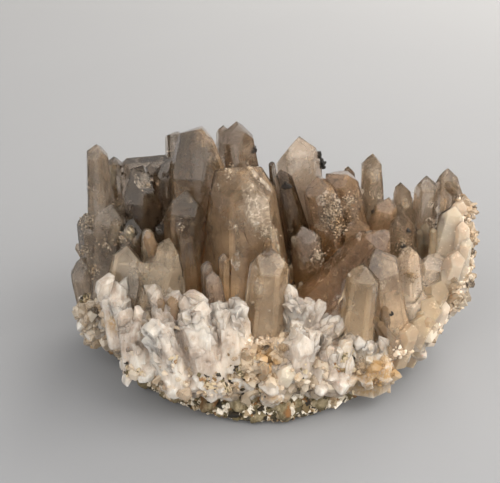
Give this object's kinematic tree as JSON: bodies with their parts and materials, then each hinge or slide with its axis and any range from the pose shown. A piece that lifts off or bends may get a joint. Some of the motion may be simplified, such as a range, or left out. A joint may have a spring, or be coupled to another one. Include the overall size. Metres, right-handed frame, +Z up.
{
  "type": "smoky quartz cluster",
  "caption": "Hand-sized smoky quartz cluster: upright pointed crystals in a bed of milky quartz on a thin slab of host rock, cut flat underneath to stand by itself.",
  "frame": {"origin": "on the flat underside of the host rock, below the middle of the cluster", "axes": "+X along the cluster's length towards its pale wing, the viewer's right, +Y away from the viewer, +Z up along the crystals"},
  "size_m": [0.1118, 0.0798, 0.0684],
  "materials": {
    "smoky_quartz": "clear, smoky brown, glossy with fine growth lines",
    "dark_smoky_quartz": "clear, dark grey-brown, glossy",
    "pale_smoky_quartz": "clear, pale warm smoke, glossy",
    "milky_quartz": "milky white with yellow stains, satin",
    "host_rock": "grey-green, rough, with white grains and rust stains"
  },
  "bodies": {
    "root": {"main_columns": "smoky_quartz", "left_pair": "dark_smoky_quartz", "left_flank": "pale_smoky_quartz", "left_shelf": "dark_smoky_quartz", "rear_peaks": "smoky_quartz", "pale_blade": "pale_smoky_quartz", "slanted_dark": "dark_smoky_quartz", "dark_spike": "dark_smoky_quartz", "tan_prisms": "smoky_quartz", "round_column": "smoky_quartz", "rear_point": "smoky_quartz", "dark_centre": "dark_smoky_quartz", "kite_faced": "pale_smoky_quartz", "leaning_prisms": "smoky_quartz", "front_right": "pale_smoky_quartz", "grey_tip": "smoky_quartz", "right_crest": "pale_smoky_quartz", "right_steps": "pale_smoky_quartz", "front_prism": "smoky_quartz", "front_domes": "smoky_quartz", "small_pair": "smoky_quartz", "back_inner": "smoky_quartz", "back_left": "smoky_quartz", "back_spire": "smoky_quartz", "back_stout": "smoky_quartz", "back_sloping": "smoky_quartz", "back_dark": "dark_smoky_quartz", "back_low": "smoky_quartz", "back_centre": "smoky_quartz", "back_broad": "smoky_quartz", "back_outer": "smoky_quartz", "back_right": "smoky_quartz", "back_right_low": "smoky_quartz", "back_twin_left": "smoky_quartz", "back_twin_right": "smoky_quartz", "back_end": "pale_smoky_quartz", "back_foot": "smoky_quartz", "quartz_bed": "milky_quartz", "host_rock": "host_rock"}
  },
  "joints": []
}
